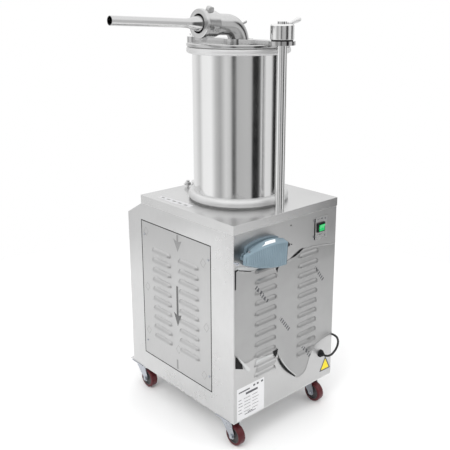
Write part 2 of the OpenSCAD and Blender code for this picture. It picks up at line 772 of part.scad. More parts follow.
module lid_plate() color(steel) place() difference() {
    translate([0, 0, lid_z]) cylinder(r = ring_r, h = lid_t, $fn = 96);
    translate([0, 0, lid_z - through]) cylinder(r = elbow_r, h = lid_t + 2 * through);
}

// Outline of the bar over the lid: a strip between the posts, an ear and a disc round the elbow
module bar_outline() {
    dx = front_post_xy[0] - rear_post_xy[0];
    dy = front_post_xy[1] - rear_post_xy[1];
    translate(rear_post_xy) rotate(atan2(dy, dx)) translate([0, -bar_w / 2]) square([post_reach, bar_w]);
    translate(front_post_xy) circle(r = ear_r);
    translate(rear_post_xy) circle(r = hinge_r);
    circle(r = bar_disc_r);
}

// Slot open to the right, curved about the rear post, so that the ear can leave the front post
module bar_slot() {
    translate(front_post_xy) circle(r = post_d / 2 + slot_gap + 0.3);
    intersection() {
        translate(rear_post_xy) difference() {
            circle(r = post_reach + post_d / 2 + slot_gap);
            circle(r = post_reach - post_d / 2 - slot_gap);
        }
        translate([front_post_xy[0], front_post_xy[1] - ear_r]) square(2 * ear_r);
    }
}

module lid_bar() color(steel) place() {
    translate([0, 0, lid_top]) linear_extrude(bar_t) difference() {
        bar_outline();
        bar_slot();
        circle(r = elbow_r + elbow_gap);
        translate(rear_post_xy) circle(r = post_d / 2 + fit_gap);
    }
    // Hinge barrel below the bar
    translate([rear_post_xy[0], rear_post_xy[1], 0]) pipe(lid_z - 11, lid_top, hinge_r, post_d / 2 + fit_gap);
}

// Everything beyond the bend is turned up by outlet_slope about the bend's centre
module sloped() translate([-bend_r, 0, outlet_z - bend_r]) rotate([0, outlet_slope, 0])
    translate([bend_r, 0, -(outlet_z - bend_r)]) children();

// The elbow's wall: a pipe up from the lid, a bend and a pipe along the outlet
module elbow_profile() difference() {
    circle(r = elbow_r);
    circle(r = elbow_r - elbow_wall);
}

module outlet_elbow() color(steel) place() {
    bend_z = outlet_z - bend_r;
    translate([0, 0, lid_z + 0.5]) linear_extrude(bend_z - lid_z - 0.5) elbow_profile();
    translate([-bend_r, 0, bend_z]) rotate([90, 0, 0])
        rotate_extrude(angle = 90 - outlet_slope) translate([bend_r, 0]) elbow_profile();
    sloped() translate([0, 0, outlet_z]) difference() {
        union() {
            along_x(ferrule_x - through, -bend_r - weld_gap, elbow_r);
            // Threaded ferrule under the union nut
            along_x(seat_x, ferrule_x, flange_r - 1);
        }
        along_x(seat_x - through, -bend_r + through, elbow_r - elbow_wall);
    }
}

module bleed_plug() color(steel) place() translate([-3, 0, outlet_z - 1]) rotate([0, 90 - bleed_lean, 0]) {
    difference() {
        translate([0, 0, 3]) cylinder(r = 8, h = 27, $fn = 32);
        sloped_bend_clear();
    }
}

// The bend's outside, in the bleed plug's own axes
module sloped_bend_clear() rotate([0, bleed_lean - 90, 0]) translate([3, 0, -(outlet_z - 1)])
    translate([-bend_r, 0, outlet_z - bend_r]) rotate([90, 0, 0])
        rotate_extrude(angle = 90) translate([bend_r, 0]) circle(r = elbow_r);

module nozzle() color(steel) place() sloped() translate([0, 0, outlet_z]) difference() {
    union() {
        along_x(seat_x - 6, seat_x - free_gap, flange_r - 2);
        translate([cone_tip_x, 0, 0]) rotate([0, 90, 0]) cylinder(r1 = tube_d / 2, r2 = cone_r, h = seat_x - 6 - cone_tip_x);
        along_x(-tube_reach, cone_tip_x, tube_d / 2);
    }
    translate([cone_tip_x, 0, 0]) rotate([0, 90, 0])
        cylinder(r1 = tube_d / 2 - tube_wall, r2 = cone_r - cone_wall, h = seat_x - 6 - cone_tip_x);
    along_x(seat_x - 7, seat_x, cone_r - cone_wall);
    along_x(-tube_reach - through, cone_tip_x + through, tube_d / 2 - tube_wall);
}

module union_nut() color(steel) place() sloped() translate([0, 0, outlet_z]) difference() {
    union() {
        along_x(nut_x[0] + 14, nut_x[1], nut_r);
        along_x(nut_x[0], nut_x[0] + 14, nut_front_r);
        // Four lugs for the spanner
        for (a = lug_angles) rotate([a, 0, 0])
            box([nut_x[0] + 22, -7, nut_r - 3], [nut_x[0] + 40, 7, nut_r + 12]);
    }
    along_x(nut_x[0] - through, nut_x[1] + through, nut_bore_r);
    along_x(seat_x - 7, nut_x[1] + through, flange_r - 1 + fit_gap);
}

// ---------------------------------------------------------------- hand nut

module over_front_post() translate([front_post_xy[0], front_post_xy[1], 0]) children();

module thrust_washer() color(steel) place() over_front_post()
    pipe(bar_top + nut_gap, hand_nut_z, hand_nut_r - 3, post_d / 2);

module lever_axis() translate([0, 0, hand_nut_z + hand_nut_h - 8]) rotate([0, lever_lean, lever_turn]) children();

module hand_nut() color(steel) place() over_front_post() difference() {
    translate([0, 0, hand_nut_z]) cylinder(r = hand_nut_r, h = hand_nut_h);
    translate([0, 0, hand_nut_z - through]) cylinder(r = thread_r + fit_gap, h = hand_nut_h + 2 * through);
    lever_axis() translate([0, 0, 20]) cylinder(r = lever_r, h = 60);
}

// Lever that slopes up and out of the nut
module nut_lever() color(steel) place() over_front_post() lever_axis() {
    translate([0, 0, 20]) cylinder(r = lever_r, h = 32);
    translate([0, 0, 52]) sphere(r = lever_r + 2);
}

base_plate();
cabinet_shell();
front_panel();
service_door();
cover_screws();
top_plate();
barrel_shell();
barrel_rings();
lid_gasket();
front_post();
rear_post();
cylinder_tube();
cylinder_gland();
cylinder_end_cap();
oil_tank();
motor();
pump();
valve_block();
hydraulic_hoses();
control_box();
switch_plate();
switch_housing();
knee_switch_base();
knee_pivot_pin();
knee_spring();
knee_cable();
cable_gland();
mains_cord();
cord_coil();
mains_plug();
caster_plates();
lid_plate();
lid_bar();
outlet_elbow();
bleed_plug();
nozzle();
union_nut();
hand_nut();
nut_lever();
thrust_washer();
piston_rod();
piston_plate();
piston_seals();
ram_head();
motor_shaft();
knee_pedal();
rocker();
regulator_knob();
fork(caster_xy[0]);  // fork_front_left
fork(caster_xy[1]);  // fork_front_right
fork(caster_xy[2]);  // fork_rear_left
fork(caster_xy[3]);  // fork_rear_right
wheel(caster_xy[0]);  // wheel_front_left
wheel(caster_xy[1]);  // wheel_front_right
wheel(caster_xy[2]);  // wheel_rear_left
wheel(caster_xy[3]);  // wheel_rear_right
axle(caster_xy[0]);  // axle_front_left
axle(caster_xy[1]);  // axle_front_right
axle(caster_xy[2]);  // axle_rear_left
axle(caster_xy[3]);  // axle_rear_right
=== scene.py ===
"""Sausage stuffer: finished surfaces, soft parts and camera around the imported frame."""

import json
import math

import bmesh
import bpy
from mathutils import Matrix, Vector, noise


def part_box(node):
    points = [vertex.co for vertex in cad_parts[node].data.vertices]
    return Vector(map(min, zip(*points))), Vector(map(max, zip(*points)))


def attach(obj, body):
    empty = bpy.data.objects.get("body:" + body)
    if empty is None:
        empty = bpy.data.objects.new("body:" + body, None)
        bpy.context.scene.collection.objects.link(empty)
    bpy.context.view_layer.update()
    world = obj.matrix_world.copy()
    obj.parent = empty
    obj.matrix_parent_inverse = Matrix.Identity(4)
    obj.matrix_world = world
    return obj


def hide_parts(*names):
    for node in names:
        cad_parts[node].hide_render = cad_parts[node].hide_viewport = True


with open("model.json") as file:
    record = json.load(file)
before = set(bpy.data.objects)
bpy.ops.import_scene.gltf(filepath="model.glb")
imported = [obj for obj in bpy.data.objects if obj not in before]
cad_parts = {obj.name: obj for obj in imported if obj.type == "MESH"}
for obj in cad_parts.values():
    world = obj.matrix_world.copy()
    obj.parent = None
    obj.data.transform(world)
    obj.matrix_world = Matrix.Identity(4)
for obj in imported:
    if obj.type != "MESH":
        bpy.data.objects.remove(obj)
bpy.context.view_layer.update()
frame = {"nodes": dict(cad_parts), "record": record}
NODES = frame["nodes"]
BODY = {n: b for b, names in frame["record"]["behaviour"]["bodies"].items() for n in names}
SLOT = {s["node"]: s["material_slot"] for s in frame["record"]["subparts"]}
MM = 0.001

# The barrel's axis in the row frame; every length below is in millimetres from it
low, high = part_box("barrel_shell")
AXIS = Vector(((low.x + high.x) / 2, (low.y + high.y) / 2, 0))


def P(x, y, z):
    return AXIS + Vector((x, y, z)) * MM


# ------------------------------------------------------------------ camera

CAMERA_AT = P(-1380.9, -1498.7, 1261.5)
HEADING = math.radians(47.643)
PITCH = math.radians(14.335)
camera = bpy.data.objects.new("camera", bpy.data.cameras.new("camera"))
bpy.context.collection.objects.link(camera)
camera.location = CAMERA_AT
looks = Vector((math.cos(HEADING) * math.cos(PITCH), math.sin(HEADING) * math.cos(PITCH), -math.sin(PITCH)))
camera.rotation_euler = looks.to_track_quat("-Z", "Y").to_euler()
camera.data.lens = 54.47
camera.data.shift_x = -0.0222
camera.data.shift_y = -0.1
bpy.context.scene.camera = camera
bpy.context.scene.view_settings.view_transform = "Standard"

# ------------------------------------------------------------------ meshes

SHARP = 32  # degrees between faces from which their edge is sharp
FLAT_WITHIN = 0.5  # degrees between faces that become one
SAME_PLACE, NO_LENGTH = 1e-6, 1e-7  # metres: points that become one, edges that go


def lathe(profile, at=(0, 0, 0), axis=(0, 0, 1), n=64):
    """Turns a closed outline of (radius, height) points about an axis."""
    q = Vector((0, 0, 1)).rotation_difference(Vector(axis))
    vs = [Vector(at) + q @ Vector((r * math.cos(2 * math.pi * k / n), r * math.sin(2 * math.pi * k / n), h))
          for k in range(n) for r, h in profile]
    m = len(profile)
    return vs, [(k * m + i, k * m + (i + 1) % m, ((k + 1) % n) * m + (i + 1) % m, ((k + 1) % n) * m + i)
                for k in range(n) for i in range(m)]


def rounded(points, r, steps=4):
    """The outline with each corner rounded by radius r; a point may give its own radius third."""
    out = []
    for i, p in enumerate(points):
        own = p[2] if len(p) > 2 else r
        b = Vector(p[:2])
        a, c = Vector(points[i - 1][:2]), Vector(points[(i + 1) % len(points)][:2])
        if own <= 0:
            out.append(b)
            continue
        da, dc = (a - b), (c - b)
        cut = min(own, da.length * 0.45, dc.length * 0.45)
        s, e = b + da.normalized() * cut, b + dc.normalized() * cut
        for k in range(steps + 1):
            t = k / steps
            out.append(s * (1 - t) ** 2 + b * 2 * t * (1 - t) + e * t * t)
    return [(v.x, v.y) for v in out]


def prism(outline, lay, depth):
    """A plate: outline points (u, v), lay turns (u, v, w) into a place, w runs over depth."""
    m = len(outline)
    vs = [Vector(lay(u, v, w)) for w in depth for u, v in outline]
    walls = [(i, (i + 1) % m, m + (i + 1) % m, m + i) for i in range(m)]
    return vs, walls + [tuple(range(m - 1, -1, -1)), tuple(range(m, 2 * m))]


def tube(path, radii, n):
    """A round bar along a path, with a radius for each point."""
    pts = [Vector(p) for p in path]
    tangent = [(pts[min(i + 1, len(pts) - 1)] - pts[max(i - 1, 0)]).normalized() for i in range(len(pts))]
    side = tangent[0].orthogonal().normalized()
    vs = []
    for p, t, r in zip(pts, tangent, radii):
        side = (side - t * side.dot(t)).normalized()
        up = t.cross(side)
        vs += [p + (side * math.cos(2 * math.pi * k / n) + up * math.sin(2 * math.pi * k / n)) * r
               for k in range(n)]
    fs = [(i * n + k, i * n + (k + 1) % n, (i + 1) * n + (k + 1) % n, (i + 1) * n + k)
          for i in range(len(pts) - 1) for k in range(n)]
    fs += [tuple(range(n - 1, -1, -1)), tuple((len(pts) - 1) * n + k for k in range(n))]
    return vs, fs


def moved(part, matrix):
    return [matrix @ v for v in part[0]], part[1]


def turn_about(point, degrees, axis):
    """The matrix of a turn about an axis through a point."""
    point = Vector(point)
    return Matrix.Translation(point) @ Matrix.Rotation(math.radians(degrees), 4, axis) @ Matrix.Translation(-point)


def flow(points, steps):
    """A smooth line through the points, steps to each stretch, as the swept solids have it."""
    pts = [Vector(p) for p in points]
    ext = [2 * pts[0] - pts[1]] + pts + [2 * pts[-1] - pts[-2]]
    out = []
    for i in range(1, len(ext) - 2):
        a, b, c, d = ext[i - 1:i + 3]
        for s in range(steps):
            t = s / steps
            out.append(0.5 * (2 * b + (c - a) * t + (2 * a - 5 * b + 4 * c - d) * t * t
                              + (3 * b - a - 3 * c + d) * t ** 3))
    return out + [pts[-1]]


def finished(o, sharp, bevel, body, replaces):
    """Smooth faces between sharp edges, broken edges, the piece's body, and the nodes it stands for hidden."""
    me = o.data
    for p in me.polygons:
        p.use_smooth = True
    me.set_sharp_from_angle(angle=math.radians(sharp))
    if bevel:
        mod = o.modifiers.new("edges", "BEVEL")
        mod.width = bevel * MM
        mod.segments = 2
        mod.limit_method = "ANGLE"
        mod.angle_limit = math.radians(SHARP)
        mod.harden_normals = True
    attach(o, body)
    if replaces:
        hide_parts(*replaces)
    return o


def piece(name, parts, mat, body, replaces=(), bevel=0.0, sharp=SHARP):
    """One object from parts in millimetres from the barrel's axis."""
    vs, fs = [], []
    for pv, pf in parts:
        fs += [tuple(i + len(vs) for i in f) for f in pf]
        vs += pv
    me = bpy.data.meshes.new(name)
    me.from_pydata([tuple(AXIS + Vector(v) * MM) for v in vs], [], fs)
    bm = bmesh.new()
    bm.from_mesh(me)
    bmesh.ops.remove_doubles(bm, verts=bm.verts, dist=SAME_PLACE)
    bmesh.ops.dissolve_degenerate(bm, edges=bm.edges, dist=NO_LENGTH)
    bmesh.ops.recalc_face_normals(bm, faces=bm.faces)
    bm.to_mesh(me)
    bm.free()
    o = bpy.data.objects.new(name, me)
    bpy.context.collection.objects.link(o)
    me.materials.append(mat)
    return finished(o, sharp, bevel, body, replaces)


def softened(node, mat, bevel):
    """A copy of a CAD node with its edges broken, which stands for it."""
    me = NODES[node].data.copy()
    bm = bmesh.new()
    bm.from_mesh(me)
    bmesh.ops.remove_doubles(bm, verts=bm.verts, dist=2 * SAME_PLACE)
    bmesh.ops.dissolve_limit(bm, angle_limit=math.radians(FLAT_WITHIN), verts=bm.verts, edges=bm.edges)
    bm.to_mesh(me)
    bm.free()
    name = node + "_finished"
    me.name = name
    o = bpy.data.objects.new(name, me)
    bpy.context.collection.objects.link(o)
    me.materials.clear()
    me.materials.append(mat)
    for p in me.polygons:
        p.material_index = 0
    return finished(o, SHARP, bevel, BODY[node], (node,))


# ------------------------------------------------------------------ materials

MIX_A, MIX_B, MIX_RESULT = 6, 7, 2  # a colour mix node's sockets


class Shader:
    """A material's nodes, made by short calls."""

    def __init__(self, name):
        self.m = bpy.data.materials.new(name)
        self.m.use_nodes = True
        self.t = self.m.node_tree
        self.b = self.t.nodes["Principled BSDF"]
        self.where = self.add("ShaderNodeTexCoord").outputs["Object"]

    def add(self, kind, **values):
        n = self.t.nodes.new(kind)
        for k, v in values.items():
            self.put(n.inputs[k], v)
        return n

    def put(self, socket, v):
        if isinstance(v, bpy.types.NodeSocket):
            self.t.links.new(v, socket)
        else:
            socket.default_value = v

    def set(self, **values):
        for k, v in values.items():
            self.put(self.b.inputs[k.replace("_", " ")], v)
        return self

    def noise(self, scale, detail, stretch=(1, 1, 1)):
        place = self.add("ShaderNodeMapping", Vector=self.where, Scale=stretch)
        return self.add("ShaderNodeTexNoise", Vector=place.outputs[0], Scale=scale, Detail=detail,
                        Roughness=0.5).outputs["Fac"]

    def span(self, value, a, b, lo=0.3, hi=0.7):
        """The value between lo and hi, spread over a to b."""
        n = self.add("ShaderNodeMapRange", Value=value)
        n.inputs["From Min"].default_value, n.inputs["From Max"].default_value = lo, hi
        n.inputs["To Min"].default_value, n.inputs["To Max"].default_value = a, b
        return n.outputs[0]

    def math(self, op, a, b=0.0):
        n = self.t.nodes.new("ShaderNodeMath")
        n.operation = op
        self.put(n.inputs[0], a)
        self.put(n.inputs[1], b)
        return n.outputs[0]

    def blend(self, a, share_a, b, share_b):
        """The sum of two values, each times its share."""
        return self.math("ADD", self.math("MULTIPLY", a, share_a), self.math("MULTIPLY", b, share_b))

    def mix(self, fac, a, b):
        n = self.t.nodes.new("ShaderNodeMix")
        n.data_type = "RGBA"
        self.put(n.inputs[0], fac)
        self.put(n.inputs[MIX_A], a if isinstance(a, bpy.types.NodeSocket) else (*a, 1.0))
        self.put(n.inputs[MIX_B], b if isinstance(b, bpy.types.NodeSocket) else (*b, 1.0))
        return n.outputs[MIX_RESULT]

    def bump(self, height, distance):
        return self.add("ShaderNodeBump", Height=height, Distance=distance * MM, Strength=1.0).outputs[0]

    def axes(self):
        return self.add("ShaderNodeSeparateXYZ", Vector=self.where).outputs


def steel(name, light, rough, depth, smudge, uneven, grain=(60, 60, 1.5), tint=(1.0, 1.0, 1.0)):
    """Ground or polished steel: fine lines along the grain, faint smudges, small changes of tone."""
    s = Shader(name)
    lines = s.noise(30, 3, grain)
    soft = s.noise(5, 3)
    spots = s.noise(38, 2)
    base = tuple(light * c for c in tint)
    dark = tuple((light - uneven) * c for c in tint)
    tone = s.span(s.blend(soft, 0.6, lines, 0.4), 0, 1, 0.38, 0.62)
    wear = s.span(s.blend(soft, 0.7, spots, 0.3), rough - smudge, rough + smudge, 0.35, 0.65)
    s.set(Metallic=1.0, Base_Color=s.mix(tone, dark, base), Roughness=wear, Normal=s.bump(lines, depth))
    return s.m


def moulded(name, color, rough, metallic=0.0, *, grain, depth, worn, coat=0.0, gleam=0.5):
    """Moulded, cast or painted surface: fine skin grain and small changes of tone."""
    s = Shader(name)
    skin = s.noise(grain, 3)
    soft = s.noise(14, 4)
    pale = tuple(min(1.0, c * (1 + worn) + 0.01) for c in color)
    deep = tuple(c * (1 - worn) for c in color)
    s.set(Metallic=metallic, Coat_Weight=coat, Specular_IOR_Level=gleam)
    s.set(Base_Color=s.mix(s.span(soft, 0, 1), deep, pale))
    s.set(Roughness=s.span(skin, rough - 0.06, rough + 0.06), Normal=s.bump(skin, depth))
    return s.m


sheet = steel("sheet_steel", 0.64, 0.30, depth=0.0012, smudge=0.05, uneven=0.07)
panel = steel("panel_steel", 0.54, 0.34, depth=0.0012, smudge=0.04, uneven=0.05)
plate = steel("plate_steel", 0.68, 0.22, grain=(1.5, 40, 40), depth=0.001, smudge=0.05, uneven=0.04)
bright = steel("polished_steel", 0.86, 0.12, grain=(3, 3, 60), depth=0.0012, smudge=0.03, uneven=0.03)
turned = steel("turned_steel", 0.84, 0.19, grain=(50, 8, 50), depth=0.001, smudge=0.04, uneven=0.03)
satin = moulded("satin_steel", (0.60, 0.60, 0.60), 0.40, 0.5, grain=50, depth=0.002, worn=0.05)
tube_steel = steel("tube_steel", 0.58, 0.14, grain=(50, 8, 50), depth=0.001, smudge=0.04, uneven=0.03)
lid_steel = steel("lid_steel", 0.55, 0.12, grain=(8, 8, 8), depth=0.001, smudge=0.04, uneven=0.05)
cast_steel = steel("cast_steel", 0.62, 0.17, grain=(10, 10, 10), depth=0.002, smudge=0.06, uneven=0.1)
zinc = steel("zinc_plate", 0.55, 0.32, grain=(1, 1, 1), depth=0.006, smudge=0.08, uneven=0.12,
             tint=(0.94, 0.98, 1.06))
casting = moulded("casting_enamel", (0.16, 0.228, 0.272), 0.38, grain=220, depth=0.04, worn=0.08, coat=0.15)
casting_dark = moulded("casting_rim", (0.13, 0.18, 0.215), 0.5, grain=220, depth=0.05, worn=0.1)
black = moulded("black_moulding", (0.008, 0.008, 0.009), 0.5, grain=420, depth=0.02, worn=0.25, gleam=0.15)
pvc = moulded("black_sheath", (0.015, 0.015, 0.016), 0.36, grain=500, depth=0.01, worn=0.3)
green = moulded("green_lens", (0.0, 0.50, 0.12), 0.18, grain=200, depth=0.01, worn=0.08, coat=0.3)
silicone = moulded("silicone", (0.82, 0.82, 0.79), 0.5, grain=200, depth=0.02, worn=0.04)
blue = moulded("tank_enamel", (0.05, 0.10, 0.19), 0.35, grain=90, depth=0.05, worn=0.1, coat=0.3)
grey = moulded("motor_enamel", (0.11, 0.12, 0.13), 0.4, grain=120, depth=0.06, worn=0.12, coat=0.2)
alloy = moulded("cast_alloy", (0.42, 0.43, 0.44), 0.42, 1.0, grain=160, depth=0.06, worn=0.12)
pale = moulded("pale_moulding", (0.55, 0.56, 0.55), 0.5, grain=260, depth=0.03, worn=0.05)
tread = moulded("polyurethane_tread", (0.075, 0.006, 0.010), 0.34, grain=60, depth=0.03, worn=0.2,
                coat=0.08, gleam=0.25)
core = moulded("wheel_core", (0.05, 0.048, 0.05), 0.4, grain=150, depth=0.03, worn=0.2, gleam=0.3)

LOOKS = {
    "stainless": sheet, "polished_stainless": bright, "zinc_steel": zinc, "white_silicone": silicone,
    "blue_paint": blue, "grey_paint": grey, "pump_aluminium": alloy, "black_rubber": pvc, "light_plastic": pale,
    "black_plastic": black, "casting_paint": casting, "green_plastic": green, "maroon_polyurethane": tread,
}
for node, o in NODES.items():
    o.data.materials.clear()
    o.data.materials.append(LOOKS[SLOT[node]])
NODES["front_panel"].data.materials[0] = panel
NODES["service_door"].data.materials[0] = panel

# ------------------------------------------------------------------ mains lead

CORD_D = 7.0
# From the gland round the cabinet's right corner and down to the floor
ROUTE = [
    (162, -228, 177), (162, -236, 177), (165, -245, 179), (172, -252, 184), (182, -255, 192),
    (192, -255, 200), (202, -252, 208), (212, -245, 215), (219, -235, 220), (222, -224, 222),
    (223, -210, 222), (224, -196, 218), (225, -183, 209), (226, -172, 196), (227, -162, 180),
    (228, -153, 160), (229, -145, 138), (230, -137, 114), (232, -128, 88), (235, -118, 62),
    (241, -106, 38), (250, -91, 20), (262, -73, 9), (272, -53, 4.6), (278, -30, 3.6), (280, -4, 3.6),
]
COIL_AT = (323.5, -4)
OUTER, INNER = 43.45, 36.45
TURNS = [(OUTER, 0), (INNER, 0), (INNER, 1), (OUTER, 1), (OUTER, 2)]
TURN_STEPS = 40
CHANGE_FROM = 0.75  # share of a turn after which the cord moves over to the next one
FLOOR_GAP, LAYER_GAP = 0.1, 0.05


def coil_points():
    """Turns on the floor, outer and inner, then the next layers, each a diameter up."""
    out = []
    lift = CORD_D / 2 + FLOOR_GAP
    for i, (r, level) in enumerate(TURNS):
        nr, nl = TURNS[min(i + 1, len(TURNS) - 1)]
        for k in range(TURN_STEPS):
            t = k / TURN_STEPS
            s = 0 if t < CHANGE_FROM else (t - CHANGE_FROM) / (1 - CHANGE_FROM)
            s = s * s * (3 - 2 * s)
            rr, zz = r + (nr - r) * s, lift + (CORD_D + LAYER_GAP) * (level + (nl - level) * s)
            a = math.pi - 2 * math.pi * t
            out.append((COIL_AT[0] + rr * math.cos(a), COIL_AT[1] + rr * math.sin(a), zz))
    return out


PLUG_AT = Vector((280, 58, 19))
cord_path = flow(ROUTE, 4)[:-1] + [Vector(p) for p in coil_points()]
cord_path += [Vector((PLUG_AT.x, y, z))
              for y, z in ((-4, 17.7), (4, 17.8), (12, 18.3), (20, 18.8), (28, 19), (34, 19))]
curve = bpy.data.curves.new("mains_lead", "CURVE")
curve.dimensions = "3D"
curve.bevel_depth = CORD_D / 2 * MM
curve.bevel_resolution = 4
curve.use_fill_caps = True
line = curve.splines.new("POLY")
line.points.add(len(cord_path) - 1)
for point, c in zip(line.points, cord_path):
    point.co = (*P(*c), 1.0)
cord = bpy.data.objects.new("mains_lead", curve)
bpy.context.collection.objects.link(cord)
curve.materials.append(pvc)
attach(cord, "root")
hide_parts("mains_cord", "cord_coil")

plug_body = [(0, -36), (4.3, -36), (5.0, -30), (5.9, -18), (8.5, -9), (12, -3), (15, 0), (17.2, 2), (18.4, 7),
             (18.6, 20), (17.5, 25), (16.2, 25.9), (0, 25.9)]
plug_pin = [(0, 25), (2.4, 25), (2.4, 43.4), (1.6, 44.8), (0, 44.9)]
PIN_APART = 19
plug_parts = [lathe(plug_body, PLUG_AT, (0, 1, 0), 48)]
for x in (-PIN_APART / 2, PIN_APART / 2):
    plug_parts.append(lathe(plug_pin, PLUG_AT + Vector((x, 0, 0)), (0, 1, 0), 20))
plug = piece("plug_moulding", plug_parts, black, "root", ("mains_plug",))
tie_ring = lathe([(9.2, -4), (10.0, -4), (10.0, 4), (9.2, 4)], n=32)
TIE_FROM_MIDDLE, TIE_Z = 40, 10.7
tie_at = (Matrix.Translation((COIL_AT[0], COIL_AT[1] + TIE_FROM_MIDDLE, TIE_Z))
          @ Matrix.Rotation(math.pi / 2, 4, "Y") @ Matrix.Diagonal((1.06, 0.74, 1, 1)))
tie = piece("lead_tie", [moved(tie_ring, tie_at)], pvc, "root")

GLAND = Vector((162, -215, 177))
relief = [(3.6, 8), (7.8, 8), (7.8, 0), (12, 0), (12, -3.4), (11.4, -4), (9.2, -4.4), (8.8, -7), (7.4, -7.4),
          (7.2, -10), (6.0, -10.4), (5.6, -12.6), (4.9, -13), (3.6, -13)]
gland = piece("lead_gland", [lathe(relief, GLAND, (0, 1, 0), 40)], black, "root", ("cable_gland",))

# ------------------------------------------------------------------ CAD nodes with broken edges

# The material of each, and how much is taken off its edges
SOFT = {
    "top_plate": (plate, 0.7), "cabinet_shell": (sheet, 0.45), "base_plate": (sheet, 0.6),
    "lid_bar": (lid_steel, 1.3), "front_post": (bright, 0.6), "rear_post": (bright, 0.8),
    "switch_plate": (sheet, 0.2), "switch_housing": (black, 0.9), "knee_switch_base": (casting_dark, 1.6),
    "caster_plates": (zinc, 0.5), "regulator_knob": (turned, 0.8), "rocker": (green, 0.6),
    # The thrust washer's black is its black nylon and also paints the shade line in the gap under the hand nut
    "thrust_washer": (black, 0.4), "control_box": (pale, 0.8), "valve_block": (alloy, 1.2), "oil_tank": (blue, 1.5),
}
for node, (mat, width) in SOFT.items():
    softened(node, mat, width)
WHEELS = {"front_left": (-187, -165), "front_right": (163, -165), "rear_left": (-187, 272), "rear_right": (163, 272)}
for at in WHEELS:
    softened("fork_" + at, zinc, 0.5)
    softened("axle_" + at, zinc, 0.7)
NODES["outlet_elbow"].data.materials[0] = cast_steel

# ------------------------------------------------------------------ rings, lid and nuts

BARREL_FIT, LID_FIT = 137.55, 30.05  # radii at the barrel and at the elbow, each a little clear
foot = rounded([(BARREL_FIT, 690.3), (146, 690.3), (147, 692.5, 1), (154, 696, 5), (154, 707, 7), (149, 716, 6),
                (140, 717, 2), (BARREL_FIT, 717)], 0.4, 6)
piece("barrel_foot_ring", [lathe(foot, n=144)], satin, "root", ("barrel_rings",))
rim = rounded([(BARREL_FIT, 1128), (147, 1128, 3), (154, 1132, 5), (154, 1143, 5), (150, 1147, 2),
               (BARREL_FIT, 1147)], 0.4, 5)
piece("barrel_top_ring", [lathe(rim, n=144)], satin, "root")
disc = rounded([(LID_FIT, 1148), (152, 1148, 1), (154, 1150, 2), (154, 1156, 2.5), (151.5, 1158, 2),
                (LID_FIT, 1158)], 0.3, 4)
piece("lid_disc", [lathe(disc, n=144)], lid_steel, "lid", ("lid_plate",))

# The outlet's axis lies along x at this height, then rises towards its tip about the bend
OUTLET_Z = 1210
sloped = turn_about((-50, 0, 1160), 2.4, "Y")
shell = rounded([(27, -155, 1), (39.5, -155, 2), (41, -153, 2), (41, -142, 1), (38, -140, 1), (38, -101.5, 2),
                 (36, -100, 1), (33.05, -100), (33.05, -125), (27, -125)], 0.5, 4)
nut_parts = [moved(lathe(shell, (0, 0, OUTLET_Z), (1, 0, 0), 96), sloped)]
lug = rounded([(-134, 35), (-132.5, 47), (-129.5, 50), (-118.5, 50), (-115.5, 47), (-114, 35)], 3, 4)
for angle in (18, 108, 198, 288):
    about = turn_about((0, 0, OUTLET_Z), angle, "X")
    nut_parts.append(moved(prism(lug, lambda u, v, w: (u, w, OUTLET_Z + v), (-7, 7)), sloped @ about))
piece("union_nut_body", nut_parts, cast_steel, "union_nut", ("union_nut",), bevel=0.5)

spout = rounded([(11.3, -440), (12.5, -440), (12.5, -192, 12), (24.4, -149, 8), (25, -126, 1), (31.9, -124, 1),
                 (31.9, -118.3), (23.5, -118.3), (23.2, -149, 8), (11.3, -192, 12)], 0.1, 5)
piece("nozzle_body", [moved(lathe(spout, (0, 0, OUTLET_Z), (1, 0, 0), 96), sloped)], tube_steel, "nozzle",
      ("nozzle",))

POST = (-12, -188)
NUT_Z = 1172.3
cap = rounded([(13.6, NUT_Z), (31.6, NUT_Z, 1), (33, NUT_Z + 1.6, 1), (33, NUT_Z + 38.6, 2),
               (30.4, NUT_Z + 42, 2), (14.6, NUT_Z + 42, 1), (13.6, NUT_Z + 41)], 0.3, 4)
piece("hand_nut_body", [lathe(cap, (*POST, 0), n=96)], turned, "hand_nut", ("hand_nut",))
lever_at = (Matrix.Translation((*POST, NUT_Z + 34)) @ Matrix.Rotation(math.radians(-20), 4, "Z")
            @ Matrix.Rotation(math.radians(68), 4, "Y"))
arm = [(0, 20), (5, 20), (5, 31), (5.6, 36), (6.4, 42), (6.9, 49), (6.95, 53), (6.2, 56.6), (4.4, 58.4),
       (2, 59), (0, 59)]
piece("nut_lever_arm", [moved(lathe(arm, n=32), lever_at)], satin, "hand_nut", ("nut_lever",))

# ------------------------------------------------------------------ knee switch

KNEE = (-120, 593)
PAD_X, PAD_FRONT, PAD_RIM, WALL = (-204, -57), -254, -228, 2.0
PIVOT = (-188, -245.5)
tilted = turn_about((KNEE[0], 0, KNEE[1]), 4, "Y") @ turn_about((*PIVOT, 0), -6, "Z")
# Half height of the pedal's face and of its rim along x
FACE_LINE = [(-204, 12), (-182, 18.5), (-160, 24.5), (-137, 29.5), (-110, 33), (-85, 34), (-57, 32)]
RIM_LINE = [(-204, 14), (-182, 23), (-160, 31), (-137, 37), (-118, 41), (-100, 42.8), (-78, 42), (-57, 38.4)]


def smooth_line(line, x):
    """Height of a smooth curve through the points of line at x."""
    k = max(0, min(len(line) - 2, sum(1 for p in line if p[0] <= x) - 1))
    p = [line[max(0, min(len(line) - 1, k + j))][1] for j in (-1, 0, 1, 2)]
    t = (x - line[k][0]) / (line[k + 1][0] - line[k][0])
    return 0.5 * (2 * p[1] + (p[2] - p[0]) * t + (2 * p[0] - 5 * p[1] + 4 * p[2] - p[3]) * t * t
                  + (3 * p[1] - p[0] - 3 * p[2] + p[3]) * t ** 3)


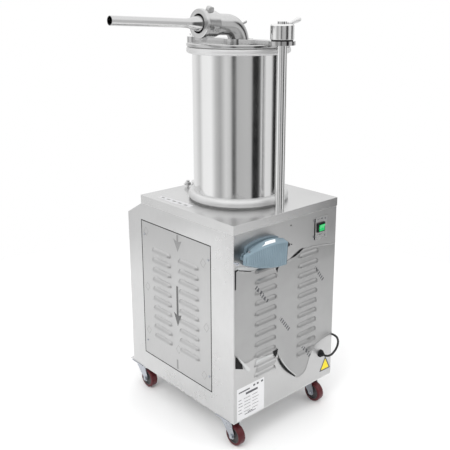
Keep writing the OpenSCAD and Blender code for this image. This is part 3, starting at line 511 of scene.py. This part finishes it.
# The sloping band's ends: behind the face, above its height, and in front of the rim
BAND_BACK, BAND_UP, RIM_EDGE = 3.2, 2.2, 3
RIB_FROM, RIB_TO, RIB_PITCH, RIB_GAP, RIB_DEEP = -192, -62, 6.5, 1.6, 0.9


def pedal_section(x, groove):
    """The pedal's outer and inner outline across its length at x."""
    tall, face = smooth_line(RIM_LINE, x), smooth_line(FACE_LINE, x)
    rim = PAD_RIM if x > -120 else PAD_RIM - 14 * min(1.0, (-120 - x) / 74)
    y = PAD_FRONT + groove
    half = [(rim, tall), (rim - RIM_EDGE, tall), (PAD_FRONT + BAND_BACK, face + BAND_UP),
            (PAD_FRONT + 1.1, face + 0.6), (PAD_FRONT + 0.2, face - 1.0), (y, face - 2.6)]
    outer = half + [(v, -w) for v, w in reversed(half)]
    inner = [(rim, WALL - tall), (PAD_FRONT + WALL, WALL - face), (PAD_FRONT + WALL, face - WALL), (rim, tall - WALL)]
    return [[Vector((x, v, KNEE[1] + w)) for v, w in line] for line in (outer, inner)]


stations = [PAD_X[0] + 0.5 * k for k in range(int((PAD_X[1] - PAD_X[0]) * 2) + 1)]
shell_v = []
for x in stations:
    groove = RIB_DEEP if RIB_FROM < x < RIB_TO and (x - RIB_FROM) % RIB_PITCH < RIB_GAP else 0.0
    outer, inner = pedal_section(x, groove)
    shell_v += outer + inner
ring = len(outer + inner)
shell_f = [(i * ring + k, i * ring + (k + 1) % ring, (i + 1) * ring + (k + 1) % ring, (i + 1) * ring + k)
           for i in range(len(stations) - 1) for k in range(ring)]
pedal_parts = [moved((shell_v, shell_f), tilted)]
for end, x0, x1 in ((PAD_X[0], PAD_X[0], PAD_X[0] + WALL), (PAD_X[1], PAD_X[1] - WALL, PAD_X[1])):
    outline = [(p.y, p.z) for p in pedal_section(end, 0.0)[0]]
    pedal_parts.append(moved(prism(outline, lambda u, v, w: (w, u, v), (x0, x1)), tilted))
piece("knee_pedal_shell", pedal_parts, casting, "knee_pedal", ("knee_pedal",), sharp=28)

paper = moulded("label_paper", (0.80, 0.81, 0.82), 0.45, grain=300, depth=0.005, worn=0.02)
ink = moulded("label_ink", (0.07, 0.07, 0.08), 0.5, grain=300, depth=0.004, worn=0.1)
yellow = moulded("label_yellow", (0.86, 0.68, 0.0), 0.4, grain=200, depth=0.004, worn=0.03)


def facet(x, t, lift):
    """A place on the pedal's sloping upper side: t runs from its face to its rim."""
    tall, low = smooth_line(RIM_LINE, x), smooth_line(FACE_LINE, x) + BAND_UP
    y = PAD_FRONT + BAND_BACK + (PAD_RIM - RIM_EDGE - PAD_FRONT - BAND_BACK) * t - lift * 0.4
    return Vector((x, y, KNEE[1] + low + (tall - low) * t + lift))


def patch(corner_rows):
    """A thin sheet over rows of places, its two faces a little apart."""
    m, n = len(corner_rows), len(corner_rows[0][0])
    vs = [v for layer in (0, 1) for row in corner_rows for v in row[layer]]
    half = m * n
    fs = [(i * n + k, i * n + k + 1, (i + 1) * n + k + 1, (i + 1) * n + k)
          for i in range(m - 1) for k in range(n - 1)]
    fs += [tuple(half + q for q in reversed(f)) for f in fs[:]]
    edge = list(range(n)) + [i * n + n - 1 for i in range(1, m)]
    edge += [(m - 1) * n + k for k in range(n - 2, -1, -1)] + [i * n for i in range(m - 2, 0, -1)]
    fs += [(a, half + a, half + b, b) for a, b in zip(edge, edge[1:] + edge[:1])]
    return vs, fs


rows = []
ROW_STEPS, ACROSS_STEPS = 6, 14
for i in range(ROW_STEPS + 1):
    t = 0.16 + 0.58 * i / ROW_STEPS
    xs = [-146 + 47 * k / ACROSS_STEPS + 8 * (i / ROW_STEPS) for k in range(ACROSS_STEPS + 1)]
    rows.append(([facet(x, t, 0.05) for x in xs], [facet(x, t, 0.3) for x in xs]))
piece("knee_pedal_label", [moved(patch(rows), tilted)], paper, "knee_pedal")
SCREW_AT = Vector((-214, -228, 586))
screw = [(0, -4.4), (3.2, -4.2), (4.6, -2.6), (5.0, 0.0), (3.0, 0.0), (3.0, 12.5), (0, 12.5)]
piece("knee_switch_screw", [lathe(screw, SCREW_AT, (0, 1, 0), 32)], zinc, "root")

# ------------------------------------------------------------------ protective film left on the front

FRONT = -215
LOUVRE = {"out": 7.5, "rise": 14, "pitch": 32.5, "lip": 2.5}
# The front's louvres: middles of the columns, the top row's mouth, how many rows, and their width
FRONT_COLUMNS, FRONT_MOUTH, FRONT_ROWS, FRONT_W = (-90, 90), 531, 11, 90


def louvre_height(u, v, w):
    """How far a louvre stands out of the wall, u across from its middle and v above its mouth."""
    if v < -LOUVRE["lip"] or v > LOUVRE["rise"]:
        return 0.0
    radius = (LOUVRE["rise"] ** 2 + LOUVRE["out"] ** 2) / (2 * LOUVRE["out"])
    past = max(0.0, abs(u) - (w / 2 - LOUVRE["rise"]))
    over = radius ** 2 - max(v, 0.0) ** 2 - past ** 2
    tall = max(0.0, math.sqrt(over) - (radius - LOUVRE["out"])) if over > 0 else 0.0
    return tall if v >= 0 else tall * (1 + v / LOUVRE["lip"])


def front_height(x, z):
    """How far the front stands out of its plane at a place."""
    for column in FRONT_COLUMNS:
        if abs(x - column) < FRONT_W / 2 + 1:
            row = math.floor((FRONT_MOUTH + LOUVRE["rise"] - z) / LOUVRE["pitch"])
            if 0 <= row < FRONT_ROWS:
                return louvre_height(x - column, z - (FRONT_MOUTH - row * LOUVRE["pitch"]), FRONT_W)
    return 0.0


def along(line, x):
    """Height of a line of straight stretches at x."""
    for (xa, za), (xb, zb) in zip(line, line[1:]):
        if x <= xb:
            return za + (zb - za) * max(0.0, (x - xa) / (xb - xa))
    return line[-1][1]


# Where the film is torn off, along its top and its bottom
TOP_EDGE = [(-211, 562), (-200, 564), (-190, 556), (-180, 549), (-150, 546), (-103, 541), (-60, 529), (-46, 518),
            (-36, 531), (0, 538), (13, 541), (26, 545), (45, 551), (65, 557), (110, 556), (160, 550), (213, 541)]
LOW_EDGE = [(-211, 302), (-203, 297), (-190, 275), (-165, 266), (-128, 270), (-60, 257), (-40, 250), (-30, 232),
            (-10, 196), (20, 160), (50, 134), (66, 135), (80, 138), (92, 148), (110, 190), (128, 216), (160, 226),
            (213, 232)]
FILM_OFF, FILM_THICK = 0.35, 0.08
FILM_LEFT, FILM_STEP, FILM_ACROSS, FILM_UP = -211, 2.0, 213, 236
film_rows = []
for i in range(FILM_ACROSS):
    x = FILM_LEFT + FILM_STEP * i
    a, b = along(LOW_EDGE, x), along(TOP_EDGE, x)
    a += 1.6 * noise.noise(Vector((x * 0.09, 3, 0)))
    b += 1.2 * noise.noise(Vector((x * 0.07, 9, 0)))
    near, far = [], []
    for k in range(FILM_UP + 1):
        z = a + (b - a) * k / FILM_UP
        ripple = 0.12 * noise.noise(Vector((x * 0.03, z * 0.03, 1.7)))
        lift = max(0.0, 1 - (z - a) / 9) ** 2 * 1.6 + max(0.0, 1 - (b - z) / 6) ** 2 * 0.6
        y = FRONT - front_height(x, z) - FILM_OFF - ripple - lift
        near.append(Vector((x, y, z)))
        far.append(Vector((x, y - FILM_THICK, z)))
    film_rows.append((near, far))


def film_skin(name, light):
    """Clear grey film over steel, with rows of faint generic marks on the slant."""
    s = Shader(name)
    soft = s.noise(7, 3)
    axes = s.axes()
    slant = s.blend(axes[0], 0.78, axes[2], 0.62)
    cross = s.blend(axes[2], 0.78, axes[0], -0.62)
    row = s.math("ABSOLUTE", s.math("SUBTRACT", s.math("FRACT", s.math("MULTIPLY", slant, 5.2)), 0.5))
    dash = s.math("FRACT", s.math("MULTIPLY", cross, 95))
    group = s.math("FRACT", s.math("MULTIPLY", cross, 6.1))
    dashed = s.math("MULTIPLY", s.math("LESS_THAN", dash, 0.55), s.math("LESS_THAN", group, 0.42))
    mark = s.math("MULTIPLY", s.math("LESS_THAN", row, 0.03), dashed)
    base = s.mix(s.span(soft, 0, 1, 0.35, 0.65), (light - 0.05,) * 3, (light,) * 3)
    s.set(Metallic=0.85, Base_Color=s.mix(s.math("MULTIPLY", mark, 0.8), base, (0.07, 0.07, 0.08)))
    s.set(Roughness=s.span(soft, 0.32, 0.42), Coat_Weight=0.15, Normal=s.bump(s.noise(26, 2), 0.02))
    return s.m


film_grey = film_skin("film_front", 0.40)
# Black for painted shade under the lifted and torn film, inside its roll, beside the switch plate and under the film's
# top edge; also the dark gap round the service door
shade_and_gap_black = moulded("painted_shade_and_gap_black", (0.006, 0.006, 0.007), 0.5, grain=60, depth=0.03, worn=0.3, gleam=0.12)
film_pale = moulded("film_edge", (0.52, 0.53, 0.53), 0.4, grain=60, depth=0.05, worn=0.1, coat=0.2)
film = piece("front_film", [patch(film_rows)], film_grey, "root", sharp=60)


def front_flap(name, outline, mat, off, rise=0.0):
    """A torn bit of film: its outline is on the front wall and it stands off by off, more towards its end."""
    lay = lambda u, v, w: (u, FRONT - off - w - rise * abs(u - outline[0][0]) / 30, v)
    piece(name, [prism(outline, lay, (0, 0.15))], mat, "root", sharp=60)


# These black flaps paint the shade under the lifted, torn film
front_flap("film_tear_shade_right", [(10, 540), (30, 550), (50, 558), (68, 561), (50, 550), (30, 543)], shade_and_gap_black, 1.2)
front_flap("film_tear_shade_middle", [(-56, 545), (-38, 543), (-46, 512)], shade_and_gap_black, 1.6)
front_flap("film_tear_shade_knee", [(-58, 262), (-38, 268), (-42, 250), (-52, 236)], shade_and_gap_black, 2.6)
front_flap("film_tail", [(-129, 222), (-120, 240), (-58, 244), (-42, 228), (-60, 213)],
           film_skin("film_tail_skin", 0.40), 0.5)
front_flap("film_tail_edge", [(-132, 245), (-120, 243), (-58, 246), (-50, 254), (-62, 258), (-126, 262)],
           film_pale, 0.7)
# Painted shade under the lifted film at the left
front_flap("film_lift_shade_left", [(-209, 303), (-201, 298), (-183, 268), (-180, 252), (-209, 264)], shade_and_gap_black, 0.9)
front_flap("film_strip_left", [(-204, 302), (-196, 293), (-152, 243), (-157, 236), (-171, 248)], film_pale, 1.4, 0.6)
front_flap("film_fold_top", [(-211, 566), (-200, 571), (-150, 560), (-104, 553), (-96, 548), (-104, 543),
                             (-150, 548), (-186, 556)], film_pale, 0.8)
# A rolled strip of film; its black paints the shade inside the curl, and its pale fold lies on top
roll = flow([(-34, FRONT - 3.6, 232), (-20, FRONT - 4.2, 208), (0, FRONT - 4.6, 182), (20, FRONT - 4.2, 162),
             (38, FRONT - 3.4, 146)], 5)
belly = [math.sin(math.pi * k / (len(roll) - 1)) for k in range(len(roll))]
piece("film_roll", [tube(roll, [2.0 + 1.6 * b for b in belly], 12)], shade_and_gap_black, "root")
fold = [p + Vector((5, -2.6, 1.5)) for p in roll]
piece("film_roll_fold", [tube(fold, [0.7 + 1.0 * b for b in belly], 10)], film_pale, "root")

# ------------------------------------------------------------------ labels, kept generic

INK = 0.12  # how thick the labels and marks are
ON_WALL, ON_LABEL = 0.05, 0.2


def front_patch(outline, off):
    """A label or mark on the front wall."""
    return prism(outline, lambda u, v, w: (u, FRONT - off - w, v), (0, INK))


def bar(x, z, w, h):
    return [(x, z), (x + w, z), (x + w, z + h), (x, z + h)]


label_grey = moulded("label_grey", (0.68, 0.68, 0.69), 0.4, grain=300, depth=0.004, worn=0.04)
piece("data_label", [front_patch(bar(-203, 90, 110, 104), ON_WALL)], label_grey, "root")
marks = [bar(-196, 178, 44, 4), bar(-138, 181, 8, 6), bar(-124, 181, 8, 6), bar(-106, 182, 8, 6),
         bar(-168, 165, 48, 7)]
for k, z in enumerate((154, 143, 133, 122, 111)):
    marks += [bar(-197, z, 12 + 3 * (k % 3), 1.6), bar(-176 + 2 * (k % 2), z, 26, 1.3),
              bar(-142, z, 22 + 4 * (k % 2), 1.3)]
marks += [bar(-172, 101, 44, 2.2), bar(-160, 105, 20, 2.2)]
piece("data_label_marks", [front_patch(m, ON_LABEL) for m in marks], ink, "root")

tri = [(159, 110), (213, 108), (187, 158)]
mid = (sum(p[0] for p in tri) / 3, sum(p[1] for p in tri) / 3)
smaller = [(mid[0] + (p[0] - mid[0]) * 0.72, mid[1] + (p[1] - mid[1]) * 0.72) for p in tri]
piece("edge_triangle", [front_patch(rounded(tri, 4), ON_WALL)], ink, "root")
piece("yellow_triangle", [front_patch(rounded(smaller, 3), ON_LABEL)], yellow, "root")

# The gap round the service door, and generic marks for what its film is printed with
arrow_soft = moulded("print_grey", (0.30, 0.30, 0.30), 0.45, 0.5, grain=200, depth=0.004, worn=0.08)
arrow_dark = moulded("print_dark", (0.13, 0.13, 0.13), 0.45, 0.5, grain=200, depth=0.004, worn=0.1)
LEFT = -215


def left_patch(outline, off=0.06):
    """A mark on the left wall."""
    return prism(outline, lambda u, v, w: (LEFT - off - w, u, v), (0, INK))


def arrow(y, top, tip, stem, wide, head):
    return [(y - stem / 2, top), (y + stem / 2, top), (y + stem / 2, tip + head * 0.86), (y + wide / 2, tip + head),
            (y, tip), (y - wide / 2, tip + head), (y - stem / 2, tip + head * 0.86)]


DOOR_Y, DOOR_Z, GAP = (-116, 218), (151, 606), 3.0
wide, tall = DOOR_Y[1] - DOOR_Y[0], DOOR_Z[1] - DOOR_Z[0]
frame_lines = [bar(y, DOOR_Z[0] - GAP, GAP, tall + 2 * GAP) for y in (DOOR_Y[0] - GAP, DOOR_Y[1])]
frame_lines += [bar(DOOR_Y[0], z, wide, GAP) for z in (DOOR_Z[1], DOOR_Z[0] - GAP)]
piece("door_gap_lines", [left_patch(b, ON_WALL) for b in frame_lines], shade_and_gap_black, "root")
diamonds, LINE_HALF = [], 0.5
for y, z in ((196, 574), (196, 388), (196, 236), (-84, 548), (-96, 350), (-84, 190), (40, 226)):
    ring = [(y - 12, z + 3), (y + 1, z + 14), (y + 12, z - 3), (y - 1, z - 14)]
    for a, b in zip(ring, ring[1:] + ring[:1]):
        side = Vector((b[0] - a[0], b[1] - a[1])).normalized() * LINE_HALF
        diamonds.append(left_patch([(a[0] + side.y, a[1] - side.x), (b[0] + side.y, b[1] - side.x),
                                    (b[0] - side.y, b[1] + side.x), (a[0] - side.y, a[1] + side.x)]))
piece("door_marks_faint", diamonds, arrow_soft, "root")
piece("door_mark_top", [left_patch(arrow(35, 603, 549, 8, 40, 38))], arrow_soft, "root")
piece("door_mark_middle", [left_patch(arrow(41, 437, 305, 9, 38, 42))], arrow_dark, "root")
piece("door_mark_low", [left_patch(bar(43, 156, 8, 32))], arrow_soft, "root")


def flat_patch(outline, heights):
    """A label or mark that lies on the top plate."""
    return prism(outline, lambda u, v, w: (u, v, w), heights)


strip_grey = moulded("strip_grey", (0.56, 0.56, 0.57), 0.4, grain=300, depth=0.004, worn=0.04)
strip = [(-196, 152), (-178, 160), (-168, 60), (-172, 10), (-190, 4), (-199, 60)]
piece("plate_strip", [flat_patch(strip, (690.05, 690.2))], strip_grey, "root")
dashes = [[(-189, y), (-182, y), (-181, y + 16), (-188, y + 16)] for y in (22, 50, 78, 106, 132)]
piece("plate_strip_marks", [flat_patch(d, (690.22, 690.3)) for d in dashes], arrow_soft, "root")

legend = [bar(127, 635, 5, 1.8), bar(136, 634, 1.8, 5), bar(144, 634, 5, 4), bar(127, 586, 5, 1.8),
          bar(137, 585, 5, 4), bar(147, 585, 1.8, 4)]
# Dots for the plate's screws
legend += [bar(159.5, 632, 5, 5), bar(159.5, 578.5, 5, 5), bar(109.5, 633.5, 5, 5), bar(109.5, 581.5, 5, 5)]
ON_SWITCH = 1.05
piece("switch_marks", [prism(b, lambda u, v, w: (u, FRONT - ON_SWITCH - w, v), (0, 0.08)) for b in legend],
      ink, "root")
# A black strip along the switch plate's left edge paints the shade that the raised plate casts there
piece("switch_plate_edge_shade", [prism(bar(113.6, 574, 4.2, 66), lambda u, v, w: (u, FRONT - w, v), (0.05, 0.5))],
      shade_and_gap_black, "root")
# Dark lines under the film's top edge
under = [[(-211, 561), (-200, 564), (-200, 560), (-207, 557)], [(-200, 561), (-150, 545), (-150, 543), (-196, 557)],
         [(-211, 562), (-207, 560), (-208, 505), (-211, 505)]]
for k, line in enumerate(under):
    front_flap("film_shadow_%d" % k, line, shade_and_gap_black, 1.1)

# ------------------------------------------------------------------ casters

TRAIL, AXLE_Z = 27, 31.5
tread_ring = rounded([(23.6, -11.2), (25, -12), (29, -12), (31.5, -9.5), (31.5, 9.5), (29, 12), (25, 12),
                      (23.6, 11.2)], 1.6)
hub_ring = rounded([(4.06, -11.9), (8.5, -11.9), (9.5, -8.4), (20.5, -7.2), (21.5, -11.2), (23.6, -11.4), (23.6, 11.4),
                    (21.5, 11.2), (20.5, 7.2), (9.5, 8.4), (8.5, 11.9), (4.06, 11.9)], 0.7, 3)
for at, (x, y) in WHEELS.items():
    axle = (x, y - TRAIL, AXLE_Z)
    body = "wheel_" + at
    piece(body + "_tread", [lathe(tread_ring, axle, (1, 0, 0), 72)], tread, body, (body,))
    piece(body + "_hub", [lathe(hub_ring, axle, (1, 0, 0), 64)], core, body)

# ------------------------------------------------------------------ floor and light

floor_mat = Shader("floor")
floor_mat.set(Base_Color=floor_mat.mix(floor_mat.noise(2, 2), (0.9, 0.9, 0.9), (0.93, 0.93, 0.93)), Roughness=0.8)
bpy.ops.mesh.primitive_circle_add(vertices=96, radius=1.7, fill_type="NGON", location=(0, 0, -0.0005))
floor = bpy.context.object
floor.name = "floor"
floor.data.materials.append(floor_mat.m)


def area_light(name, at, aim, size, power):
    """A square lamp that polished parts don't reflect."""
    data = bpy.data.lights.new(name, "AREA")
    data.size, data.energy = size, power
    o = bpy.data.objects.new(name, data)
    bpy.context.collection.objects.link(o)
    o.location = P(*at)
    o.rotation_euler = (P(*aim) - o.location).to_track_quat("-Z", "Y").to_euler()
    o.visible_glossy = False
    return o


area_light("key", (-1900, -600, 2300), (0, 0, 600), 1.4, 26)
area_light("fill", (900, -2200, 1500), (0, 0, 500), 1.6, 9)
area_light("top", (0, 300, 2900), (0, 0, 600), 1.8, 14)

world = bpy.data.worlds.new("studio")
bpy.context.scene.world = world
world.use_nodes = True
tree = world.node_tree
tree.nodes.clear()


def wnode(kind, **values):
    n = tree.nodes.new(kind)
    for k, v in values.items():
        setattr(n, k, v)
    return n


# The studio round the machine: pale walls with a few dark upright gaps, by direction
coord = wnode("ShaderNodeTexCoord")
BACK = (-0.674, -0.739, 0.0)  # from the machine towards the camera
RIGHT = (0.739, -0.674, 0.0)
dots = []
for vector in (RIGHT, BACK):
    dot = wnode("ShaderNodeVectorMath", operation="DOT_PRODUCT")
    tree.links.new(coord.outputs["Generated"], dot.inputs[0])
    dot.inputs[1].default_value = vector
    dots.append(dot.outputs["Value"])
turn = wnode("ShaderNodeMath", operation="ARCTAN2")
tree.links.new(dots[0], turn.inputs[0])
tree.links.new(dots[1], turn.inputs[1])
scale = wnode("ShaderNodeMapRange")
tree.links.new(turn.outputs[0], scale.inputs["Value"])
scale.inputs["From Min"].default_value = -math.pi
scale.inputs["From Max"].default_value = math.pi
# Degrees from the camera's direction, and how bright it is there
WALLS = [(-180, 0.9), (-135, 0.85), (-112, 0.62), (-100, 0.95), (-72, 0.98), (-58, 0.55), (-46, 0.40), (-32, 0.72),
         (-20, 0.62), (-14, 0.10), (-8, 0.14), (-4, 0.48), (22, 0.52), (31, 0.50), (35, 0.02), (48, 0.02), (54, 0.16),
         (62, 0.80), (88, 0.78), (95, 0.02), (106, 0.02), (114, 0.5), (140, 0.8), (180, 0.9)]
ramp = wnode("ShaderNodeValToRGB")
tree.links.new(scale.outputs[0], ramp.inputs[0])
stops = ramp.color_ramp.elements
while len(stops) < len(WALLS):
    stops.new(0.5)
for stop, (angle, value) in zip(stops, WALLS):
    stop.position = (angle + 180) / 360
    stop.color = (value, value, value, 1)
path = wnode("ShaderNodeLightPath")
parts = wnode("ShaderNodeSeparateXYZ")
tree.links.new(coord.outputs["Generated"], parts.inputs[0])
above = wnode("ShaderNodeMapRange")
tree.links.new(parts.outputs["Z"], above.inputs["Value"])
OVERHEAD_FROM, OVERHEAD_TO, OVERHEAD = 0.28, 0.5, 1.2
above.inputs["From Min"].default_value = OVERHEAD_FROM
above.inputs["From Max"].default_value = OVERHEAD_TO
overhead = wnode("ShaderNodeMix", data_type="RGBA")
tree.links.new(above.outputs[0], overhead.inputs[0])
tree.links.new(ramp.outputs[0], overhead.inputs[MIX_A])
overhead.inputs[MIX_B].default_value = (OVERHEAD, OVERHEAD, OVERHEAD, 1)
choose = wnode("ShaderNodeMix", data_type="RGBA")
tree.links.new(path.outputs["Is Glossy Ray"], choose.inputs[0])
choose.inputs[MIX_A].default_value = (1, 1, 1, 1)
tree.links.new(overhead.outputs[MIX_RESULT], choose.inputs[MIX_B])
back_node = wnode("ShaderNodeBackground")
tree.links.new(choose.outputs[MIX_RESULT], back_node.inputs[0])
back_node.inputs[1].default_value = 1.0
out = wnode("ShaderNodeOutputWorld")
tree.links.new(back_node.outputs[0], out.inputs[0])
